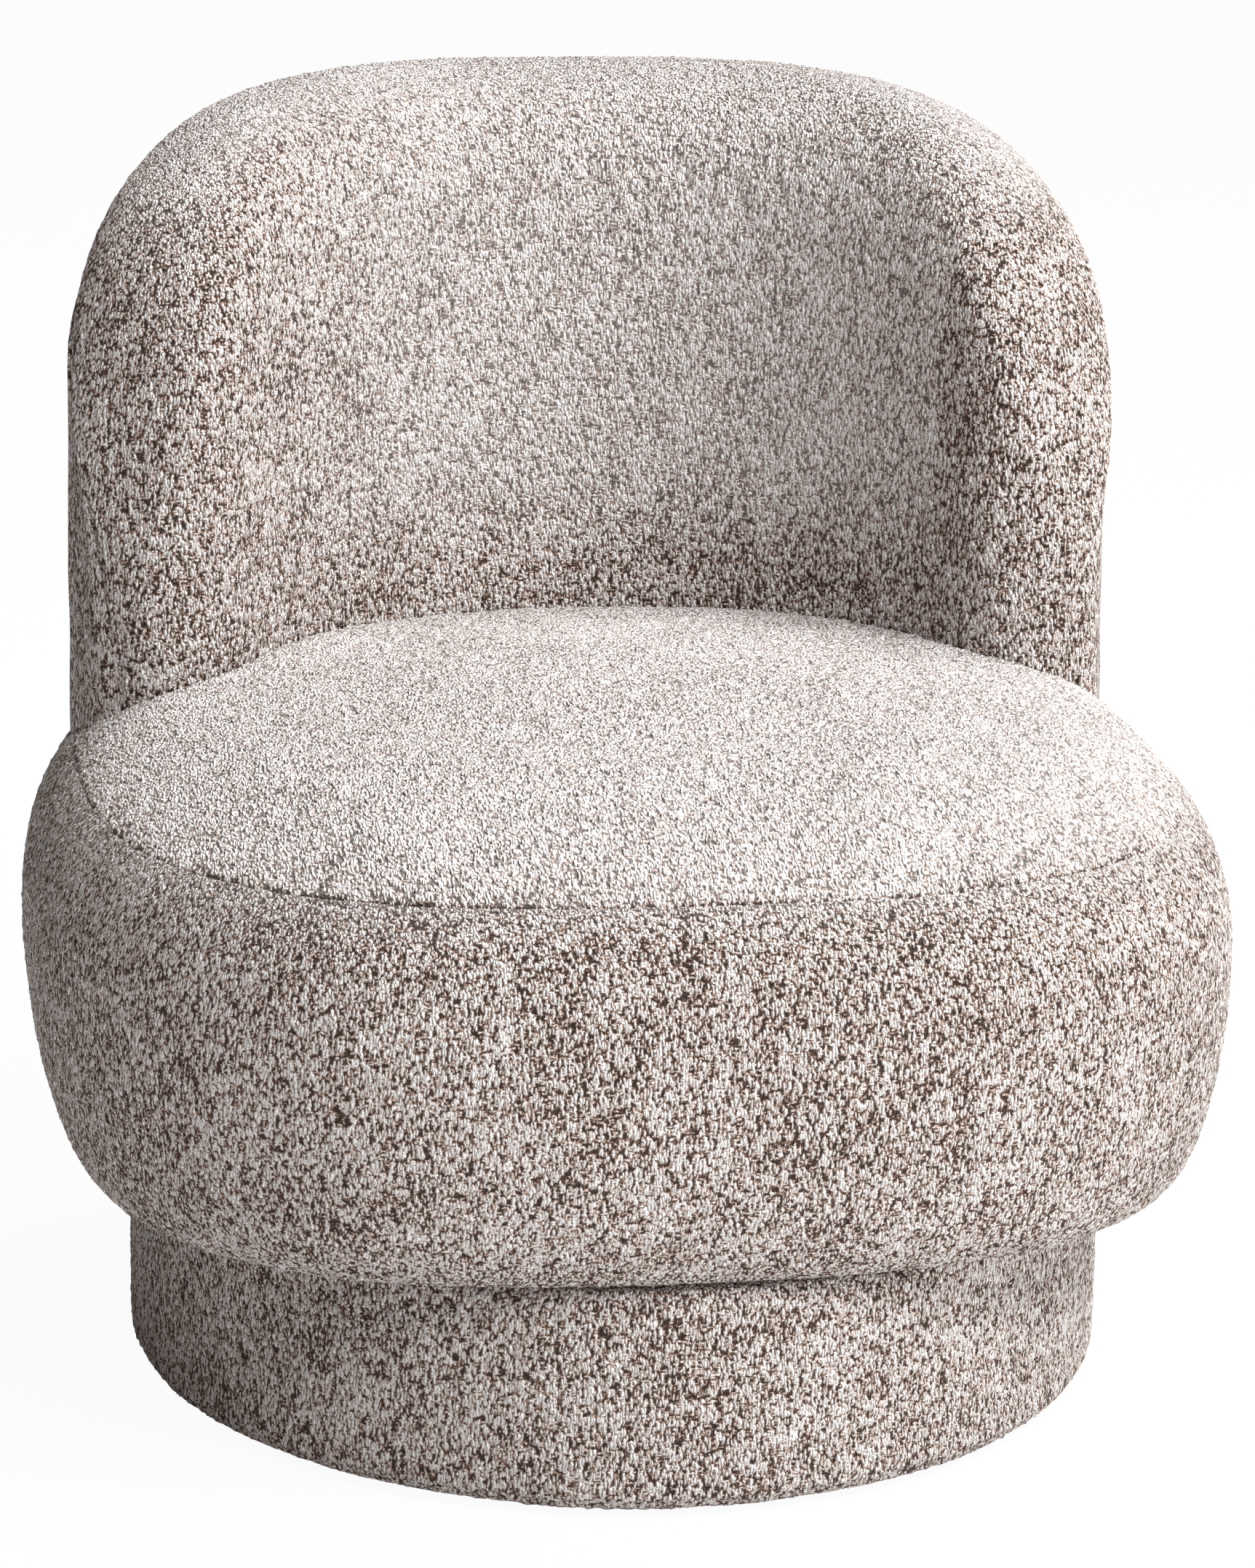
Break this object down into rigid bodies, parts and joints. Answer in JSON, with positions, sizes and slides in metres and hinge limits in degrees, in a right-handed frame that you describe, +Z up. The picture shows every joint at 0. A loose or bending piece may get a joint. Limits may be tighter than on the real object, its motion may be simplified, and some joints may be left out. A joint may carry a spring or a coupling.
{
  "type": "tub chair",
  "caption": "Upholstered tub chair: a curved padded back stands in a thick rounded seat that swivels on a covered drum plinth.",
  "frame": {"origin": "on the floor under the swivel axis, which is the centre of the footprint", "axes": "+Z up, the front of the seat faces -Y, +X is to the right of someone who looks at the front's back along +Y"},
  "size_m": [0.72, 0.65, 0.756],
  "materials": {
    "cover_fabric": "curled pile",
    "foam": "cut foam",
    "plywood": "sanded",
    "timber": "sawn",
    "dust_cloth": "non-woven",
    "webbing": "woven",
    "steel": "zinc plated",
    "dark_steel": "black oxide",
    "nylon": "moulded"
  },
  "bodies": {
    "plinth": {"glides": "nylon", "base_dust_cover": "dust_cloth", "plinth_bottom_ring": "plywood", "plinth_posts": "timber", "plinth_top_board": "plywood", "plinth_shell": "plywood", "plinth_wrap": "foam", "plinth_cover": "cover_fabric", "swivel_lower_plate": "steel", "ball_cage": "nylon", "bearing_balls": "steel", "lower_screws": "dark_steel"},
    "seat": {"swivel_upper_plate": "steel", "hub_collar": "dark_steel", "upper_screws": "dark_steel", "seat_base_board": "plywood", "seat_posts": "timber", "seat_side_band": "plywood", "seat_top_ring": "plywood", "webbing_across": "webbing", "webbing_along": "webbing", "seat_side_foam": "foam", "seat_top_foam": "foam", "seat_dust_cover": "dust_cloth", "seat_under_cover": "cover_fabric", "seat_side_cover": "cover_fabric", "seat_top_cover": "cover_fabric", "back_ribs": "timber", "back_rails": "timber", "back_front_skin": "plywood", "back_rear_skin": "plywood", "back_bolts": "dark_steel", "back_bolt_nuts": "steel", "back_front_foam": "foam", "back_rear_foam": "foam", "back_front_cover": "cover_fabric", "back_rear_cover": "cover_fabric"}
  },
  "joints": [
    {"name": "seat_swivel", "type": "hinge", "parent": "plinth", "child": "seat", "pos_m": [0, 0, 0.143], "axis": [0, 0, 1], "continuous": true}
  ]
}
